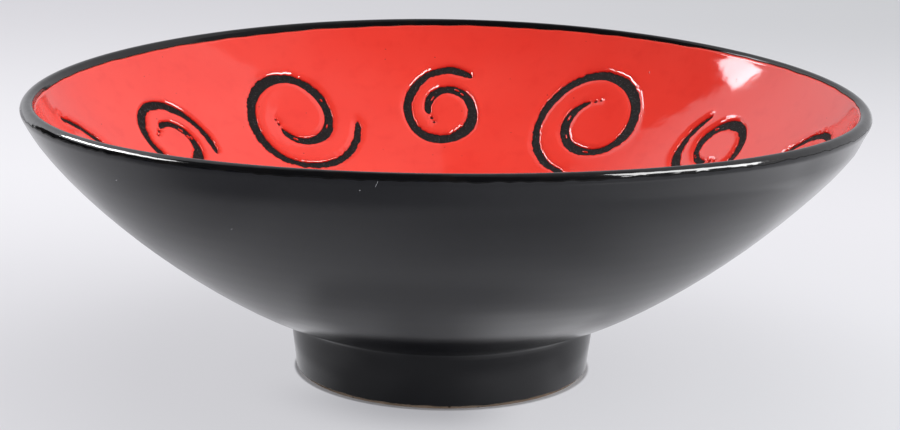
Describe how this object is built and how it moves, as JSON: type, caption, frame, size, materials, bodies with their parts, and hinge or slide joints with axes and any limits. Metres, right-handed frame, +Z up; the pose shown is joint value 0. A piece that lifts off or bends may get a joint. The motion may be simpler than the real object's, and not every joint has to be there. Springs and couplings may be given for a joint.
{
  "type": "vegetable bowl",
  "caption": "Wide shallow footed stoneware serving bowl, satin black outside, gloss black lip, thick red glaze inside with open brushed coils.",
  "frame": {"origin": "middle of the foot, on the surface the bowl stands on", "axes": "+Z up out of the bowl's mouth, -Y towards the side the picture was taken from, +X to its right"},
  "size_m": [0.28, 0.28, 0.0976],
  "materials": {
    "stoneware": "matt fired clay",
    "bare_clay": "matt unglazed clay",
    "satin_black_glaze": "satin",
    "gloss_black_glaze": "gloss",
    "matt_black_ground": "matt",
    "gloss_red_glaze": "gloss",
    "well_black_glaze": "satin"
  },
  "bodies": {
    "root": {"stoneware_body": "stoneware", "foot_ring": "bare_clay", "satin_outer_glaze": "satin_black_glaze", "gloss_lip_glaze": "gloss_black_glaze", "black_ground_glaze": "matt_black_ground", "red_liner_glaze": "gloss_red_glaze", "foot_well_glaze": "well_black_glaze"}
  },
  "joints": []
}
